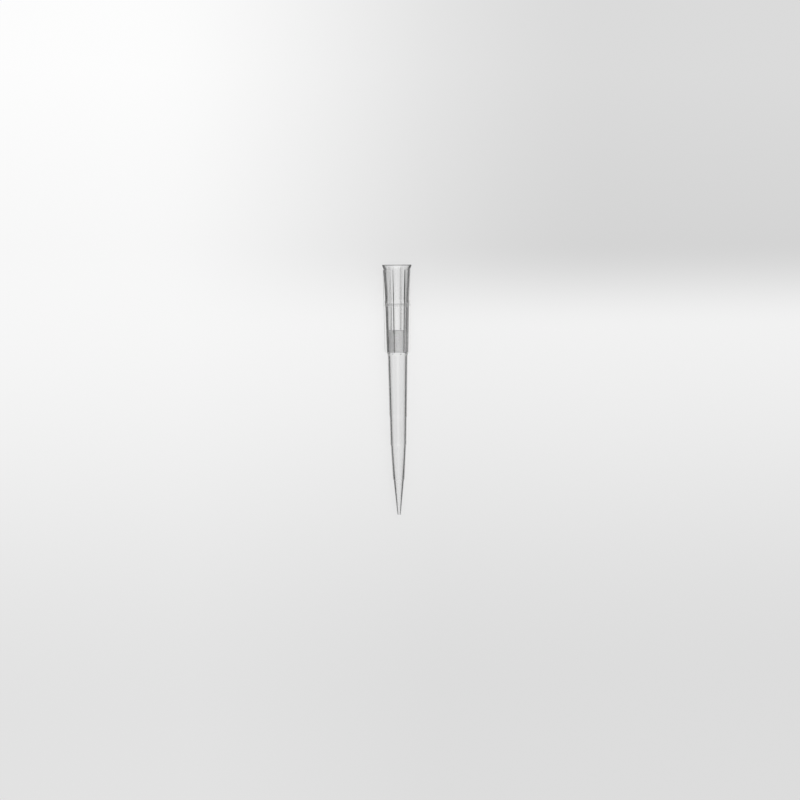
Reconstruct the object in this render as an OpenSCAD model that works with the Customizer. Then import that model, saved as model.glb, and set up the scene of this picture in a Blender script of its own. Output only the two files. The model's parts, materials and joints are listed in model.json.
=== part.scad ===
// Filter pipette tip for 200 microlitres: a clear moulded tip with a porous plug pressed into it.
// Heights along the tip are measured down from the rim, so the mouth is at 0.
// The tip lies on its side as it comes to rest, with its mouth towards +Y.

/* [Collar] */
// Outer diameter of the rim
rim_d = 7.04; // [6.6:0.02:7.6]
// Height of the flare under the rim
flare_h = 1.2; // [0.8:0.05:1.8]
// Width of the flat lip on the rim
lip_w = 0.2; // [0.1:0.02:0.3]
// Outer diameter of the collar under the flare
collar_d = 6.22; // [6:0.02:6.5]
// Outer diameter of the collar above the snap ring
socket_d = 5.52; // [5.4:0.02:5.9]
// Outer diameter of the collar below the snap ring
chamber_d = 5.46; // [5.2:0.02:5.6]
// Outer diameter of the collar at its lower end
collar_end_d = 4.94; // [4.8:0.02:5.2]
// Length of the collar, from the rim to the shoulder below the ribs
collar_l = 20.8; // [18:0.05:24]
// Wall of the collar
collar_wall = 0.45; // [0.35:0.01:0.5]

/* [Snap ring] */
// Height at which the snap ring starts
snap_at = 8.05; // [6:0.05:9.4]
// Length of the snap ring along the tip
snap_l = 1.6; // [1.2:0.1:2.2]
// How far the wall bulges at the snap ring
snap_bulge = 0.09; // [0.04:0.01:0.15]
// Diameter of the sealing land inside the snap ring
seal_d = 4.3; // [4.2:0.02:4.5]
// Length of the sealing land
seal_l = 0.2; // [0.2:0.05:0.6]
// Length of the slopes above and below the sealing land
seal_slope = 0.15; // [0.05:0.05:0.3]

/* [Ribs] */
// Number of ribs round the collar
rib_count = 6; // [4:1:12]
// Thickness of a rib
rib_t = 0.4; // [0.25:0.01:0.5]
// How far a rib stands out from the collar under the flare
rib_top_h = 0.2; // [0.1:0.01:0.35]
// How far a rib stands out from the collar at its lower end
rib_end_h = 0.53; // [0.3:0.01:0.8]
// Length of the slope at the lower end of a rib
rib_slope = 0.4; // [0.2:0.05:1.5]

/* [Shaft] */
// Length from the collar to the 100 microlitre step
barrel_l = 14.8; // [12:0.05:18]
// Length from the 100 to the 50 microlitre step
waist_l = 6.6; // [5:0.05:8]
// Length from the 50 to the 10 microlitre step
neck_l = 8.35; // [7:0.05:10]
// Length from the 10 microlitre step to the orifice
point_l = 8.45; // [7:0.05:10.5]
// How far the shoulder steps in from the collar to the shaft
shoulder_w = 0.16; // [0.1:0.01:0.3]
// Length of the shoulder's slope
shoulder_l = 0.35; // [0.1:0.05:1]
// Outer diameter at the 100 microlitre step
barrel_end_d = 4.12; // [4:0.02:4.3]
// Outer diameter at the 50 microlitre step
waist_end_d = 3.76; // [3.6:0.02:3.9]
// Outer diameter at the 10 microlitre step
neck_end_d = 2.68; // [2.6:0.02:2.9]
// How far the wall steps in at the 100 and 50 microlitre marks
mark_step = 0.075; // [0.04:0.005:0.1]
// How far the wall steps in at the 10 microlitre mark
point_step = 0.15; // [0.05:0.01:0.18]
// Length of each step along the tip
step_h = 0.3; // [0.1:0.05:0.6]

/* [Bore] */
// Wall of the shaft above the steps
shaft_wall = 0.41; // [0.32:0.01:0.45]
// Diameter of the orifice
orifice_d = 0.42; // [0.3:0.02:0.5]
// Wall at the orifice
orifice_wall = 0.18; // [0.12:0.01:0.3]

/* [Filter] */
// Length of the filter
filter_l = 5.1; // [3:0.1:7]
// Height of the filter seat above the shoulder of the collar
seat_h = 0.3; // [0.2:0.05:0.6]
// Bevel on the filter's edges
filter_bevel = 0.12; // [0.05:0.01:0.2]

/* [Hidden] */

facets = 96; // facets of a turned surface in the preview
snap_steps = 10; // straight lines that make up the bulge of the snap ring
cut_clear = 1; // how far a cut runs past the faces that it opens

// Heights of the marks, worked out from the lengths between them
mark_100 = collar_l + barrel_l;
mark_50 = mark_100 + waist_l;
mark_10 = mark_50 + neck_l;
tip_l = mark_10 + point_l;
seat_at = collar_l - seat_h;
snap_end = snap_at + snap_l;
seal_at = snap_end - seal_l - 2 * seal_slope;
rib_end = collar_l - rib_slope;

// Radius of a straight taper at height h, between (h0, r0) and (h1, r1)
function taper(h, h0, r0, h1, r1) = r0 + (r1 - r0) * (h - h0) / (h1 - h0);

// Outer radius through the snap ring: a taper with one smooth swelling
function snap_r(h) = taper(h, snap_at, socket_d / 2, snap_end, chamber_d / 2)
    + snap_bulge * pow(sin(180 * (h - snap_at) / snap_l), 2);

// Outer radius of the collar below the snap ring
function lower_r(h) = taper(h, snap_end, chamber_d / 2, collar_l, collar_end_d / 2);

// Inner radius of the filter chamber, which the filter shares
function chamber_r(h) = lower_r(h) - collar_wall;

// Outer profile as [radius, height] from the rim to the orifice
barrel_r = collar_end_d / 2 - shoulder_w;
outer = concat(
    [[rim_d / 2, 0], [collar_d / 2, flare_h]],
    [for (i = [0:snap_steps]) let (h = snap_at + snap_l * i / snap_steps) [snap_r(h), h]],
    [
        [lower_r(collar_l), collar_l],
        [barrel_r, collar_l + shoulder_l],
        [barrel_end_d / 2, mark_100],
        [barrel_end_d / 2 - mark_step, mark_100 + step_h],
        [waist_end_d / 2, mark_50],
        [waist_end_d / 2 - mark_step, mark_50 + step_h],
        [neck_end_d / 2, mark_10],
        [neck_end_d / 2 - point_step, mark_10 + step_h],
        [orifice_d / 2 + orifice_wall, tip_l]
    ]);

// Inner profile as [radius, height]: mouth, socket, groove, sealing land, filter chamber, seat and bore
inner = concat(
    [[rim_d / 2 - lip_w, 0], [collar_d / 2 - collar_wall, flare_h]],
    [for (i = [0:snap_steps]) let (h = snap_at + snap_l * i / snap_steps)
        if (h < seal_at) [snap_r(h) - collar_wall, h]],
    [
        [snap_r(seal_at) - collar_wall, seal_at],
        [seal_d / 2, seal_at + seal_slope],
        [seal_d / 2, seal_at + seal_slope + seal_l],
        [chamber_r(snap_end), snap_end],
        [chamber_r(seat_at), seat_at],
        [barrel_r - shaft_wall, seat_at],
        [waist_end_d / 2 - shaft_wall, mark_50],
        [neck_end_d / 2 - shaft_wall, mark_10],
        [orifice_d / 2, tip_l]
    ]);

// What can touch the surface below the lying tip, as [radius, height]: above the shoulder the rim
// and the lower corners of two ribs, one on each side of straight down, and below it the steps and
// the orifice. The tip rests on the pair whose line stands furthest out at the shoulder.
rib_angle = 180 / rib_count;
rib_end_r = lower_r(rib_end) + rib_end_h;
upper_feet = [
    [rim_d / 2, 0],
    [rib_end_r * cos(rib_angle) + rib_t / 2 * sin(rib_angle), rib_end]
];
lower_feet = [
    [barrel_end_d / 2, mark_100],
    [waist_end_d / 2, mark_50],
    [neck_end_d / 2, mark_10],
    [orifice_d / 2 + orifice_wall, tip_l]
];
lines = [for (u = upper_feet, l = lower_feet) [taper(collar_l, u[1], u[0], l[1], l[0]), u, l]];
furthest = max([for (l = lines) l[0]]);
rest = [for (l = lines) if (l[0] == furthest) l][0];
rest_tilt = atan((rest[1][0] - rest[2][0]) / (rest[2][1] - rest[1][1]));
rest_lift = rest[1][1] * sin(rest_tilt) + rest[1][0] * cos(rest_tilt);

// Turns a profile of [radius, height] round the tip's axis, closed along the axis
module turned(profile) {
    last = len(profile) - 1;
    rotate_extrude($fn = facets)
        polygon(concat(
            [[0, -profile[0][1]]],
            [for (p = profile) [p[0], -p[1]]],
            [[0, -profile[last][1]]]));
}

// One rib: a thin plate from the axis to its outer edge, which slopes in at its lower end
module rib() {
    rotate([90, 0, 0])
        linear_extrude(height = rib_t, center = true)
            polygon([
                [0, -flare_h],
                [collar_d / 2 + rib_top_h, -flare_h],
                [rib_end_r, -rib_end],
                [lower_r(collar_l), -collar_l],
                [0, -collar_l]
            ]);
}

// Everything that the bore takes away, run out past the rim and the orifice
module bore() {
    turned(concat(
        [[inner[0][0], -cut_clear]],
        inner,
        [[orifice_d / 2, tip_l + cut_clear]]));
}

// Lays the upright tip on its side, as it comes to rest
module laid() {
    translate([0, tip_l / 2 * cos(rest_tilt), rest_lift])
        rotate([rest_tilt - 90, 0, 0])
            children();
}

module tip_body() {
    color([0.86, 0.88, 0.89, 0.5])
        laid()
            difference() {
                union() {
                    turned(outer);
                    for (i = [0:rib_count - 1])
                        rotate([0, 0, 90 + rib_angle * (2 * i + 1)])
                            rib();
                }
                bore();
            }
}

module filter_plug() {
    top = seat_at - filter_l;
    color([0.9, 0.9, 0.9])
        laid()
            turned([
                [chamber_r(top) - filter_bevel, top],
                [chamber_r(top + filter_bevel), top + filter_bevel],
                [chamber_r(seat_at - filter_bevel), seat_at - filter_bevel],
                [chamber_r(seat_at) - filter_bevel, seat_at]
            ]);
}

tip_body();
filter_plug();
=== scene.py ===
"""A clear ribbed filter tip, lying on a pale surface as it comes to rest.

Sizes of the tip are in millimetres, as radii and as heights measured down from its rim, and MM
brings them to the scene's metres.
"""

import json
import math

import bpy
import numpy as np
from mathutils import Matrix, Vector


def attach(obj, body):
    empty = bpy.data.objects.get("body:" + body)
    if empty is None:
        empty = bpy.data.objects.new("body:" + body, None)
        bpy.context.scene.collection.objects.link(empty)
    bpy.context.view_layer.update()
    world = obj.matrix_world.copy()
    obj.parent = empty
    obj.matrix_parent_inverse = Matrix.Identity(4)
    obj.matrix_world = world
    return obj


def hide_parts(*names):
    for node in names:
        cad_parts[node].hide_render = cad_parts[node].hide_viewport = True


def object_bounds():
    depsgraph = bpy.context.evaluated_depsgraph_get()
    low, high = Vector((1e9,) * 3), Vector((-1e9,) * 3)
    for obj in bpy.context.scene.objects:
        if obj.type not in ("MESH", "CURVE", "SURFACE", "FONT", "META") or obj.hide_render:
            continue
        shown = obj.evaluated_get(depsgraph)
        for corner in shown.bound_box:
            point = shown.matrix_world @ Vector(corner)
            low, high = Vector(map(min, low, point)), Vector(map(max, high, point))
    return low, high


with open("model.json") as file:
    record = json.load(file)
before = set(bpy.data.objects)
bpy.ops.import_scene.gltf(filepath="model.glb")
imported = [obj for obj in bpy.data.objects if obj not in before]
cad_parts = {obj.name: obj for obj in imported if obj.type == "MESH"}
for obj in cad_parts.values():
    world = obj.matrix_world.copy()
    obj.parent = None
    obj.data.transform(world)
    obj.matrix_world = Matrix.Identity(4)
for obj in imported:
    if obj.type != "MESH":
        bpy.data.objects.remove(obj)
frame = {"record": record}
cad_box = [list(corner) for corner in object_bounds()]

# ---- How the tip lies ----
# The tip has no flat side, so it lies on its rim and on one step of its shaft, with its nose a
# little down. Its axis and its rim are known from the places where a pipette takes hold.
MM = 0.001

mounts = {mount["name"]: mount for mount in frame["record"]["mounts"]}
along = np.array(mounts["nozzle_seal"]["axis"])
along /= np.linalg.norm(along)
on_axis = np.array(mounts["nozzle_seal"]["pos_m"])
rim_centre = on_axis + along * ((np.array(mounts["rim_face"]["pos_m"]) - on_axis) @ along)
side = np.array([1.0, 0.0, 0.0])
top = np.cross(side, along)


def place(radius, height, angle):
    """Points at a radius and a height of the tip, at an angle from straight up towards +X.

    Each is the rim's centre, less the height along the axis, plus the radius times the turned
    direction sin(angle) * side + cos(angle) * top.
    """
    spoke = np.sin(angle)[..., None] * side + np.cos(angle)[..., None] * top
    return rim_centre - height[..., None] * MM * along + radius[..., None] * MM * spoke


# ---- The tip's body ----
# One clear polypropylene moulding, made in one shot: a flared rim, a collar with ribs and a snap
# ring, and a shaft that tapers in steps to a fine orifice. The steps mark 100, 50 and 10
# microlitres. Its corners are rounded, most of all at the sealing land.
TIP_L = 59.0
RIM_R = 3.52
LIP_W = 0.2
LIP_ROUND = 0.05
FLARE_H = 1.2
COLLAR_R = 3.11
COLLAR_L = 20.8
COLLAR_END_R = 2.47
COLLAR_WALL = 0.45
SNAP_AT = 8.05
SNAP_END = 9.65
SNAP_BULGE = 0.09
SOCKET_R = 2.76
CHAMBER_R = 2.73
SEAL_R = 2.15
SEAL_L = 0.2
SEAL_SLOPE = 0.15
SEAT_AT = 20.5
SHOULDER_W = 0.16
SHOULDER_L = 0.5
SHAFT_WALL = 0.41
STEP_H = 0.3
MARK_100 = 35.6
MARK_50 = 42.2
MARK_10 = 50.55
BARREL_END_R = 2.06
WAIST_END_R = 1.88
NECK_END_R = 1.34
MARK_STEP = 0.075
POINT_STEP = 0.15
POINT_R = 0.39
ORIFICE_R = 0.21
BLENDED = 0.2
SOFT = 0.04
SHARP = 0.015

RIBS = 6
RIB_T = 0.4
RIB_DRAFT = 0.015
RIB_TOP_R = 3.31
RIB_END_R = 3.01
RIB_END = 20.4
RIB_FOOT = 20.6
RIB_START_SUNK = 0.1
RIB_FOOT_SUNK = 0.01
RIB_TAIL = 1.0
RIB_TAIL_SUNK = 1.5
RIB_LEAD = 0.1
RIB_ROUND = 0.05
RIB_ROUND_SHARE = 0.45

CORNER_ROWS = 9
CORNER_SPREAD = 2.6
RING_ROWS = 31
LIP_ROWS = 11
LIP_POWER = 0.6
LEAST_ROW = 0.003
ROUND_COLUMNS = 5
GAP_COLUMNS = 9

seal_at = SNAP_END - SEAL_L - 2 * SEAL_SLOPE
barrel_r = COLLAR_END_R - SHOULDER_W
groove_r = SOCKET_R + (CHAMBER_R - SOCKET_R) * (seal_at - SNAP_AT) / (SNAP_END - SNAP_AT)
chamber_end_r = CHAMBER_R + (COLLAR_END_R - CHAMBER_R) * (SEAT_AT - SNAP_END) / (COLLAR_L - SNAP_END)

# Corners of each outline, as height, radius and how softly it turns. A rib's outline starts and
# ends inside the wall.
outer_corners = np.array([
    (0, RIM_R, SOFT),
    (FLARE_H, COLLAR_R, SOFT),
    (SNAP_AT, SOCKET_R, SOFT),
    (SNAP_END, CHAMBER_R, SOFT),
    (COLLAR_L, COLLAR_END_R, SOFT),
    (COLLAR_L + SHOULDER_L, barrel_r, SOFT),
    (MARK_100, BARREL_END_R, SHARP),
    (MARK_100 + STEP_H, BARREL_END_R - MARK_STEP, SHARP),
    (MARK_50, WAIST_END_R, SHARP),
    (MARK_50 + STEP_H, WAIST_END_R - MARK_STEP, SHARP),
    (MARK_10, NECK_END_R, SHARP),
    (MARK_10 + STEP_H, NECK_END_R - POINT_STEP, SHARP),
    (TIP_L, POINT_R, SOFT),
])
inner_corners = np.array([
    (0, RIM_R - LIP_W, SOFT),
    (FLARE_H, COLLAR_R - COLLAR_WALL, SOFT),
    (SNAP_AT, SOCKET_R - COLLAR_WALL, SOFT),
    (seal_at, groove_r - COLLAR_WALL, BLENDED),
    (seal_at + SEAL_SLOPE, SEAL_R, BLENDED),
    (seal_at + SEAL_SLOPE + SEAL_L, SEAL_R, BLENDED),
    (SNAP_END, CHAMBER_R - COLLAR_WALL, BLENDED),
    (SEAT_AT, chamber_end_r - COLLAR_WALL, SHARP),
    (SEAT_AT + SHARP, barrel_r - SHAFT_WALL, SHARP),
    (MARK_50, WAIST_END_R - SHAFT_WALL, SOFT),
    (MARK_10, NECK_END_R - SHAFT_WALL, SOFT),
    (TIP_L, ORIFICE_R, SOFT),
])
rib_corners = np.array([
    (FLARE_H - SHARP, COLLAR_R - RIB_START_SUNK, SHARP),
    (FLARE_H + SHARP, RIB_TOP_R, SHARP),
    (RIB_END, RIB_END_R, SHARP),
    (RIB_FOOT, COLLAR_END_R - RIB_FOOT_SUNK, SHARP),
    (COLLAR_L + RIB_TAIL, COLLAR_END_R - RIB_TAIL_SUNK, SHARP),
])


def soft_line(height, corners):
    """The radius at each height of a line of straight tapers with soft corners.

    Each corner adds its change of slope times (x + sqrt(x^2 + soft^2)) / 2, where x is the height
    past the corner: a hyperbola that runs along both tapers.
    """
    at, radius, soft = corners.T
    slope = np.diff(radius) / np.diff(at)
    past = height[:, None] - at[1:-1]
    bend = (past + np.sqrt(past**2 + soft[1:-1] ** 2)) / 2
    return radius[0] + slope[0] * (height - at[0]) + bend @ np.diff(slope)


def swelling(height):
    """The snap ring's bulge: the square of a sine over its length, and nothing elsewhere."""
    share = np.clip((height - SNAP_AT) / (SNAP_END - SNAP_AT), 0, 1)
    return SNAP_BULGE * np.sin(np.pi * share) ** 2


def rows(*outlines):
    """Heights for the rows of a skin: close together at each corner and through the snap ring.

    Round each corner they stand at its softness times the hyperbolic sine of even steps.
    """
    spread = np.sinh(np.linspace(-CORNER_SPREAD, CORNER_SPREAD, CORNER_ROWS))
    corners = np.vstack(outlines)
    near = (corners[:, :1] + corners[:, 2:] * spread).ravel()
    ring = np.linspace(SNAP_AT, SNAP_END, RING_ROWS)
    height = np.sort(np.concatenate([near, ring]))
    height = height[(height > LIP_ROUND) & (height < TIP_L - LIP_ROUND)]
    height = height[np.append(True, np.diff(height) > LEAST_ROW)]
    return np.concatenate([[LIP_ROUND], height, [TIP_L - LIP_ROUND]])


def lip(first, last, height, reach):
    """Half of a rounded box, from one radius to another, that stands out by reach from a height.

    It is half an ellipse whose sine and cosine are raised to a power below 1.
    """
    turn = np.linspace(-np.pi / 2, np.pi / 2, LIP_ROWS + 2)[1:-1]
    middle = (first + last) / 2
    half = (last - first) / 2
    radius = middle + half * np.sign(turn) * np.abs(np.sin(turn)) ** LIP_POWER
    return radius, height + reach * np.cos(turn) ** LIP_POWER


def rib_columns():
    """The columns of half a rib and half the gap beside it, from the rib's middle outwards.

    Each is a lift above the wall, a sideways place and a share of the gap. The lift is a share of
    the rib's height plus a number of rounding radii: the edge and the root are quarter circles.
    """
    turn = np.linspace(0, np.pi / 2, ROUND_COLUMNS)
    half = RIB_T / 2
    root = half + RIB_DRAFT
    flat = [0, half / 2]
    gap = np.linspace(0, 1, GAP_COLUMNS + 1)[1:]
    of_height = np.concatenate([np.ones_like(flat), np.ones_like(turn), 0 * turn, 0 * gap])
    of_round = np.concatenate([np.zeros_like(flat), np.cos(turn) - 1, 1 - np.sin(turn), 0 * gap])
    beside = np.concatenate([
        flat,
        half - RIB_ROUND * (1 - np.sin(turn)),
        root + RIB_ROUND * (1 - np.cos(turn)),
        root + RIB_ROUND + 0 * gap,
    ])
    of_gap = np.concatenate([np.zeros_like(flat), 0 * turn, 0 * turn, gap])
    return of_height, of_round, beside, of_gap


def new_piece(name, points, faces, material):
    """A softly shaded mesh of one material, as an object at the origin."""
    mesh = bpy.data.meshes.new(name)
    mesh.from_pydata(points, [], faces)
    mesh.shade_smooth()
    mesh.materials.append(material)
    piece = bpy.data.objects.new(name, mesh)
    bpy.context.scene.collection.objects.link(piece)
    return piece


def closed_skin(name, points, material):
    """A piece on a grid of points, closed along its rows and round its columns."""
    count, across = points.shape[:2]
    index = np.arange(count * across).reshape(count, across)
    below = np.roll(index, -1, axis=0)
    quads = np.stack([index, below, np.roll(below, -1, axis=1), np.roll(index, -1, axis=1)], axis=-1)
    return new_piece(name, points.reshape(-1, 3), quads.reshape(-1, 4), material)


def tip_skin():
    """The whole moulding: down the outside, round the orifice, up the bore and round the rim.

    A column's radius is the wall's plus its lift, and its angle from the rib's middle is the arc
    sine of its sideways place over that radius, or over the shaft's where the skin is narrower.
    Between ribs the angles are evenly spaced.
    """
    outer_h = rows(outer_corners, rib_corners[:-1])
    outer_r = soft_line(outer_h, outer_corners) + swelling(outer_h)
    inner_h = rows(inner_corners)[::-1]
    inner_r = soft_line(inner_h, inner_corners) + swelling(inner_h) * (inner_h < seal_at)
    orifice_r, orifice_h = lip(outer_r[-1], inner_r[0], TIP_L - LIP_ROUND, LIP_ROUND)
    rim_r, rim_h = lip(inner_r[-1], outer_r[0], LIP_ROUND, -LIP_ROUND)
    height = np.concatenate([outer_h, orifice_h, inner_h, rim_h])[:, None]
    wall = np.concatenate([outer_r, orifice_r, inner_r, rim_r])[:, None]
    stands_out = np.maximum(soft_line(outer_h, rib_corners) - outer_r, 0)
    ribbed = (outer_h > FLARE_H - RIB_LEAD) & (outer_h < COLLAR_L)
    rib_h = np.zeros_like(wall)
    rib_h[: len(outer_h), 0] = stands_out * ribbed
    of_height, of_round, beside, of_gap = rib_columns()
    rounding = np.minimum(RIB_ROUND, RIB_ROUND_SHARE * rib_h)
    radius = wall + of_height * rib_h + of_round * rounding
    angle = np.arcsin(beside / np.maximum(radius, barrel_r))
    angle = angle + of_gap * (np.pi / RIBS - angle)
    across = np.hstack([-angle[:, :0:-1], angle[:, :-1]])
    lifted = np.hstack([radius[:, :0:-1], radius[:, :-1]])
    middles = 2 * np.pi / RIBS * (np.arange(RIBS) + 0.5)
    angle = (middles[:, None] + across[:, None, :]).reshape(len(height), -1)
    radius = np.tile(lifted, RIBS)
    return place(radius, np.broadcast_to(height, radius.shape), angle)


class Socket:
    """One output of a node. Sums and products of outputs and numbers add Math nodes."""

    def __init__(self, tree, link=None):
        self.tree = tree
        self.link = link

    def node(self, kind, settings=None, sockets=None, output=0):
        """Adds a node, sets it, then fills its sockets with values or links."""
        node = self.tree.nodes.new(kind)
        for name, value in (settings or {}).items():
            setattr(node, name, value)
        for name, value in (sockets or {}).items():
            if isinstance(value, Socket):
                self.tree.links.new(value.link, node.inputs[name])
            else:
                node.inputs[name].default_value = value
        return Socket(self.tree, node.outputs[output] if node.outputs else None)

    def maths(self, operation, first, second):
        """The outcome of one operation on two values."""
        return self.node("ShaderNodeMath", {"operation": operation}, {0: first, 1: second})

    def __add__(self, other):
        return self.maths("ADD", self, other)

    def __radd__(self, other):
        return self.maths("ADD", other, self)

    def __sub__(self, other):
        return self.maths("SUBTRACT", self, other)

    def __rsub__(self, other):
        return self.maths("SUBTRACT", other, self)

    def __mul__(self, other):
        return self.maths("MULTIPLY", self, other)

    def __rmul__(self, other):
        return self.maths("MULTIPLY", other, self)

    def over(self, other):
        """1 where this is larger than the other, and 0 elsewhere."""
        return self.maths("GREATER_THAN", self, other)

    def at_least(self, other):
        """The larger of this and the other."""
        return self.maths("MAXIMUM", self, other)

    def reach(self, direction):
        """How far this vector reaches in a direction, as their dot product."""
        return self.node("ShaderNodeVectorMath", {"operation": "DOT_PRODUCT"}, {
            0: self, 1: tuple(direction)}, output="Value")

    def ramp(self, start, end, first, last, kind="SMOOTHSTEP"):
        """The first value up to the start, the last from the end on, and a smooth run between."""
        return self.node("ShaderNodeMapRange", {"interpolation_type": kind}, {
            "Value": self, "From Min": start, "From Max": end, "To Min": first, "To Max": last})

    def grey(self):
        """A colour with this value in each channel."""
        return self.node("ShaderNodeCombineColor", sockets={"Red": self, "Green": self, "Blue": self})


def new_material(name):
    """An empty material and the start of its nodes."""
    material = bpy.data.materials.new(name)
    material.use_nodes = True
    material.node_tree.nodes.clear()
    return material, Socket(material.node_tree)


CLEAR = 0.99
POLISH = 0.015
HAZE = 0.03
STREAKS = (1500, 90, 1500)
RIPPLES = 2500.0
TO_LAMPS = (0.93, 0.93, 0.93, 1)
LAND_AT = 9.45

# Painted shade down the tip and away from the land: where each run starts and ends, and its values
# there
LIP_SHADE = (0.15, 0.35, 0.55, 1.0)
LAND_SHADE = (0.08, 0.22, 0.83, 1.0)
EDGE_SHADE = (44.0, 54.0, 0.95, 2.0)


def clear_polypropylene():
    """Clear moulded plastic with a faint haze that runs in streaks along the flow of the mould.

    Its colour holds painted shade: it is darker where it is seen at a slant, most of all at the point,
    and at the lip and round the sealing land, standing in for the dark edges and lines of bent light.
    """
    material, make = new_material("clear polypropylene")
    place_at = make.node("ShaderNodeTexCoord", output="Object")
    flow = make.node("ShaderNodeMapping", sockets={"Vector": place_at, "Scale": STREAKS})
    streaks = make.node("ShaderNodeTexNoise", sockets={"Vector": flow, "Detail": 3.0})
    ripples = make.node("ShaderNodeTexNoise", sockets={"Vector": place_at, "Scale": RIPPLES})
    edge = make.node("ShaderNodeLayerWeight", sockets={"Blend": 0.5}, output="Facing")
    height = float(rim_centre @ along) / MM - place_at.reach(along / MM)
    past_land = height - LAND_AT
    off_land = past_land.at_least(0 - past_land)
    # Painted shade: the colour darkens at a slant, at the lip and round the sealing land.
    through = (CLEAR - edge * edge * height.ramp(*EDGE_SHADE)).at_least(0.0)
    tone = through * height.ramp(*LIP_SHADE) * off_land.ramp(*LAND_SHADE)
    shader = make.node("ShaderNodeBsdfPrincipled", sockets={
        "Base Color": tone.grey(),
        "Roughness": POLISH + streaks * HAZE,
        "Transmission Weight": 1.0,
        "IOR": 1.49,
        "Normal": make.node("ShaderNodeBump", sockets={
            "Height": ripples, "Strength": 0.04, "Distance": 0.00002}),
    })
    lamps = make.node("ShaderNodeLightPath", output="Is Shadow Ray")
    passed = make.node("ShaderNodeBsdfTransparent", sockets={"Color": TO_LAMPS})
    mixed = make.node("ShaderNodeMixShader", sockets={0: lamps, 1: shader, 2: passed})
    make.node("ShaderNodeOutputMaterial", sockets={"Surface": mixed})
    return material


tip = closed_skin("moulded_tip", tip_skin(), clear_polypropylene())
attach(tip, "root")
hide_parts("tip_body")

# ---- The filter ----
# A plug of sintered polyethylene beads, pressed down the collar until it sits on the ledge at the
# top of the shaft's bore. Its ends are flat and its surface is grainy.
FILTER_AT = 15.4
FILTER_BEVEL = 0.12
FILTER_GAP = 0.012
GRAIN = 0.012
GRAIN_PITCH = 0.075
GRAIN_SEED = 7
BEADS = 8000.0
BEAD_TONE = 0.77
PORE_SHADE = 0.25
MOTTLE = 0.2
MOTTLES = 2500.0


def filter_skin():
    """The plug as rings of points: out over one end, along its side and in over the other end.

    A bevel joins end and side. Every point is moved inwards by a random share of the grain, less
    near the axis. The radius at each end is the chamber's there, less a small gap, and a corner
    past the seat ends the chamber's line.
    """
    heights = inner_corners[:, 0]
    chamber = inner_corners[(heights >= SNAP_END) & (heights <= SEAT_AT)]
    past_seat = chamber[-1:] + 1
    wide = soft_line(np.array([FILTER_AT, SEAT_AT]), np.vstack([chamber, past_seat])) - FILTER_GAP
    outline = np.array([
        (0.0, FILTER_AT),
        (wide[0] - FILTER_BEVEL, FILTER_AT),
        (wide[0], FILTER_AT + FILTER_BEVEL),
        (wide[1], SEAT_AT - FILTER_BEVEL),
        (wide[1] - FILTER_BEVEL, SEAT_AT),
        (0.0, SEAT_AT),
    ])
    run = np.append(0, np.cumsum(np.hypot(*np.diff(outline, axis=0).T)))
    steps = np.linspace(0, run[-1], int(run[-1] / GRAIN_PITCH))[1:-1]
    radius = np.interp(steps, run, outline[:, 0])
    height = np.interp(steps, run, outline[:, 1])
    angle = np.linspace(0, 2 * np.pi, int(2 * np.pi * wide[0] / GRAIN_PITCH), endpoint=False)
    shape = (len(radius), len(angle))
    dent = np.random.default_rng(GRAIN_SEED).random((2,) + shape) * GRAIN
    middle = (FILTER_AT + SEAT_AT) / 2
    return place(
        radius[:, None] - dent[0] * np.minimum(radius, 1)[:, None],
        height[:, None] - dent[1] * np.sign(height - middle)[:, None],
        np.broadcast_to(angle, shape))


def capped_skin(name, points, material):
    """A piece on rings of points, closed round its columns and with a point of its own at each end."""
    count, across = points.shape[:2]
    index = np.arange(count * across).reshape(count, across)
    next_in = np.roll(index, -1, axis=1)
    quads = np.stack([index[:-1], index[1:], next_in[1:], next_in[:-1]], axis=-1)
    first = np.full(across, count * across)
    start = np.stack([first, index[0], next_in[0]], axis=-1)
    end = np.stack([first + 1, next_in[-1], index[-1]], axis=-1)
    ends = points[[0, -1]].mean(axis=1)
    faces = [*start.tolist(), *quads.reshape(-1, 4).tolist(), *end.tolist()]
    return new_piece(name, np.vstack([points.reshape(-1, 3), ends]), faces, material)


def porous_polyethylene():
    """Matt grey-white beads fused together, darker in the pores between them."""
    material, make = new_material("porous polyethylene")
    place_at = make.node("ShaderNodeTexCoord", output="Object")
    beads = make.node("ShaderNodeTexVoronoi", sockets={"Vector": place_at, "Scale": BEADS})
    mottle = make.node("ShaderNodeTexNoise", sockets={
        "Vector": place_at, "Scale": MOTTLES, "Detail": 3.0})
    tone = BEAD_TONE + mottle * MOTTLE - beads * PORE_SHADE
    shader = make.node("ShaderNodeBsdfPrincipled", sockets={
        "Base Color": tone.grey(),
        "Roughness": 0.8,
        "Normal": make.node("ShaderNodeBump", sockets={
            "Height": 1 - beads, "Strength": 0.5, "Distance": 0.00003}),
    })
    make.node("ShaderNodeOutputMaterial", sockets={"Surface": shader})
    return material


plug = capped_skin("porous_filter", filter_skin(), porous_polyethylene())
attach(plug, "root")
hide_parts("filter_plug")

# ---- The surface and the light ----
# A pale matt board under two soft lamps, one beyond each end of the tip, in a room that is pale
# beside the board and dim above. Light that is turned inside the clear wall comes from the room's
# dark sides, which draws the wall's lines. The room is turned round the tip's axis by TURN.
FLOOR_R = 1.5
PALE = 0.88
SHADOW = 0.15
TURN = math.radians(9.5)
ASIDE = np.cos(TURN) * side + np.sin(TURN) * top

# Painted shade and light on the board: where each run starts and ends in metres, and its values there
FAR = (0.0135, 0.0345, 0.0, 1.0)
FAR_SHADE = (-0.065, 0.055, 0.0, 0.23)
NEAR_SHADE = (-0.075, 0.03, 0.17, 0.0)
LEFT_GLOW = (-0.05, 0.01, 0.04, 0.0)
FAR_GLOW = (0.035, 0.075, 0.0, 0.045)


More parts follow.
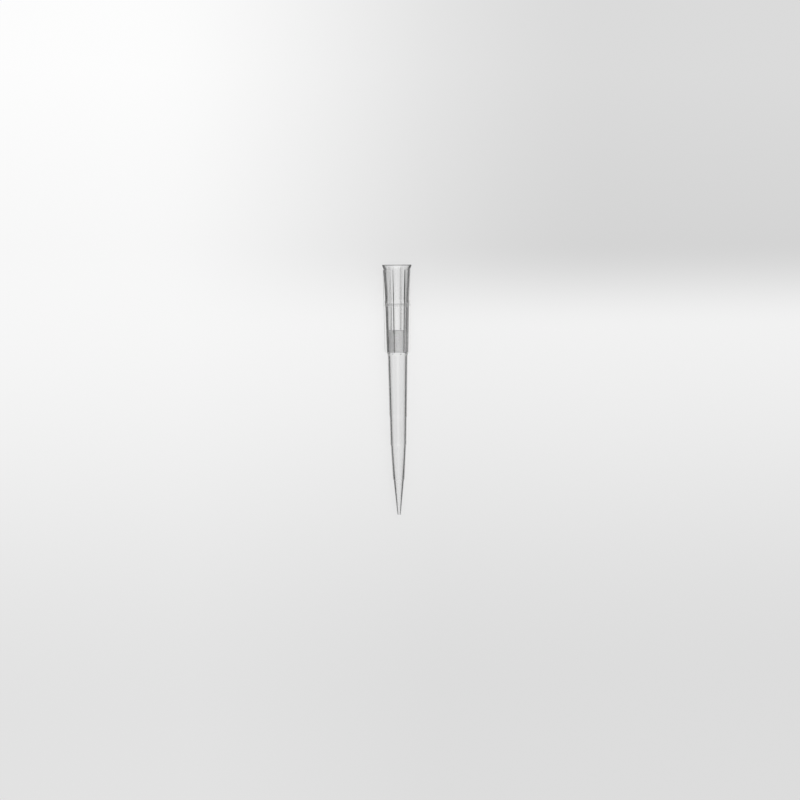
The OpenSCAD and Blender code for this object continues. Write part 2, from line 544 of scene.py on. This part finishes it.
def turned_inside(make):
    """1 for a ray that was mirrored and passed through plastic, as when turned in its wall, else 0."""
    inner = make.node("ShaderNodeLightPath", output="Glossy Depth")
    through = make.node("ShaderNodeLightPath", output="Transmission Depth")
    return inner.over(0.5) * through.over(0.5)


def scattered(make):
    """1 for a ray that has left a matt surface, whatever it has passed since, and 0 for any other."""
    return make.node("ShaderNodeLightPath", output="Diffuse Depth").over(0.5)


def pale_sheet():
    """Matt pale board with painted shade at the far right and near by, and painted light left and far
    off.

    Seen past the plastic it keeps a soft shadow, and seen through it or mirrored it is evenly lit.
    Rays that were turned inside the plastic pass through it.
    """
    material, make = new_material("pale board")
    place_at = make.node("ShaderNodeTexCoord", output="Object")
    across = make.node("ShaderNodeSeparateXYZ", sockets={"Vector": place_at}, output="X")
    ahead = make.node("ShaderNodeSeparateXYZ", sockets={"Vector": place_at}, output="Y")
    # Painted shade and painted light in the board's colour.
    shade = ahead.ramp(*FAR) * across.ramp(*FAR_SHADE) + ahead.ramp(*NEAR_SHADE)
    glow = across.ramp(*LEFT_GLOW, kind="LINEAR") + ahead.ramp(*FAR_GLOW, kind="LINEAR")
    colour = (PALE - shade + glow).grey()
    lit = make.node("ShaderNodeBsdfDiffuse", sockets={"Color": colour})
    even = make.node("ShaderNodeEmission", sockets={"Color": colour})
    seen = make.node("ShaderNodeLightPath", output="Is Camera Ray") * (1 - SHADOW)
    seen = seen + make.node("ShaderNodeLightPath", output="Is Transmission Ray")
    seen = seen + make.node("ShaderNodeLightPath", output="Is Glossy Ray")
    seen = seen * (1 - scattered(make))
    pale = make.node("ShaderNodeMixShader", sockets={0: seen, 1: lit, 2: even})
    open_below = make.node("ShaderNodeBsdfTransparent")
    mixed = make.node("ShaderNodeMixShader", sockets={0: turned_inside(make), 1: pale, 2: open_below})
    make.node("ShaderNodeOutputMaterial", sockets={"Surface": mixed})
    return material


def floor():
    """A large flat sheet at the height that the tip rests on."""
    square = np.array([(-1, -1, 0), (1, -1, 0), (1, 1, 0), (-1, 1, 0)]) * FLOOR_R
    return new_piece("floor", square + (0, 0, cad_box[0][2]), [(0, 1, 2, 3)], pale_sheet())


floor()

ROOM_GREY = (0.8, 0.8, 0.8, 1)
DARK_ROOM = 0.12
LENGTHWISE_SHIFT = 0.05

# Runs over the directions of the room: where each starts and ends, and its values there. WALLS and
# FROM_ABOVE run upwards, FRONT and WIDE with the square of the way aside, ENDS with the square of
# the way along the tip, and SLIGHT with that way itself.
WALLS = (0.3, 0.7, PALE, 0.1)
FROM_ABOVE = (0.0, 1.0, 0.0, 1.5)
FRONT = (0.06, 0.14, PALE, DARK_ROOM)
ENDS = (0.0144, 0.035, 0.0, PALE)
WIDE = (0.2, 0.4, 0.0, 1.0)
SLIGHT = (0.25, 0.35, 1.0, 0.0)


def room():
    """Pale walls and a dim ceiling to rays that are mirrored or pass, and light from above.

    The light from above falls on matt surfaces. Rays that were turned inside the plastic see the
    room dark at both sides of the tip, and pale above it, below it and towards its ends. A ray that
    runs wide sees the mouth's end dark as well, if it runs towards that end only a little.
    """
    world = bpy.data.worlds.new("room")
    world.use_nodes = True
    world.node_tree.nodes.clear()
    make = Socket(world.node_tree)
    toward = make.node("ShaderNodeTexCoord", output="Generated")
    up = make.node("ShaderNodeSeparateXYZ", sockets={"Vector": toward}, output="Z")
    aside = toward.reach(ASIDE)
    lengthwise = toward.reach(along) + LENGTHWISE_SHIFT
    sideways = aside * aside
    slightly = lengthwise.over(0.0) * lengthwise.ramp(*SLIGHT)
    ends = (lengthwise * lengthwise).ramp(*ENDS) * (1 - sideways.ramp(*WIDE) * slightly)
    camera = make.node("ShaderNodeLightPath", output="Is Camera Ray")
    turned = turned_inside(make)
    matt = scattered(make)
    mirrored = turned * sideways.ramp(*FRONT).at_least(ends) + (1 - turned) * up.ramp(*WALLS)
    bounced = matt * up.ramp(*FROM_ABOVE) + (1 - matt) * mirrored
    tone = camera * PALE + (1 - camera) * bounced
    light = make.node("ShaderNodeBackground", sockets={"Color": ROOM_GREY, "Strength": tone})
    make.node("ShaderNodeOutputWorld", sockets={"Surface": light})
    bpy.context.scene.world = world


room()

LAMP_AWAY = 0.6
LAMP_W = 0.6


def lamp(name, azimuth, elevation, power):
    """A square soft lamp that faces the tip, from a direction given in degrees."""
    light = bpy.data.lights.new(name, "AREA")
    light.size = LAMP_W
    light.energy = power
    holder = bpy.data.objects.new(name, light)
    around, lift = math.radians(azimuth), math.radians(elevation)
    level = math.cos(lift)
    away = Vector((level * math.cos(around), level * math.sin(around), math.sin(lift)))
    holder.location = away * LAMP_AWAY
    holder.rotation_euler = away.to_track_quat("Z", "Y").to_euler()
    bpy.context.scene.collection.objects.link(holder)


lamp("far lamp", 80, 35, 1.0)
lamp("near lamp", -95, 35, 1.0)

# ---- The camera ----
# It looks down on the lying tip with the mouth at the top of the view. It stands in the plane of
# the rim, so the rim shows edge on, and to the left by TURN, so the ribs show off centre.
LENS = 85.0
SENSOR = 36.0
VIEW_W = 188.56
AIM_AT = 31.82
AIM_SIDE = 0.457
LEAN = math.radians(0.52)
CLIP_START = 0.01
CLIP_END = 10.0

camera_data = bpy.data.cameras.new("camera")
camera_data.lens = LENS
camera_data.sensor_width = SENSOR
camera_data.clip_start = CLIP_START
camera_data.clip_end = CLIP_END
camera = bpy.data.objects.new("camera", camera_data)
bpy.context.scene.collection.objects.link(camera)
bpy.context.scene.camera = camera

distance = VIEW_W / 2 / (SENSOR / 2 / LENS)
stand = np.cos(TURN) * top - np.sin(TURN) * side
eye = rim_centre + stand * MM * math.sqrt(distance**2 - AIM_AT**2)
across = np.cross(along, stand)
aim = rim_centre - along * AIM_AT * MM + across * AIM_SIDE * MM
back = (eye - aim) / np.linalg.norm(eye - aim)
right = np.cross(along, back)
right /= np.linalg.norm(right)
upright = np.cross(back, right)
leaning_right = np.cos(LEAN) * right - np.sin(LEAN) * upright
leaning_up = np.cos(LEAN) * upright + np.sin(LEAN) * right
turned_camera = Matrix(np.column_stack([leaning_right, leaning_up, back]).tolist()).to_4x4()
camera.matrix_world = Matrix.Translation(Vector(eye)) @ turned_camera

bpy.context.scene.view_settings.view_transform = "Standard"
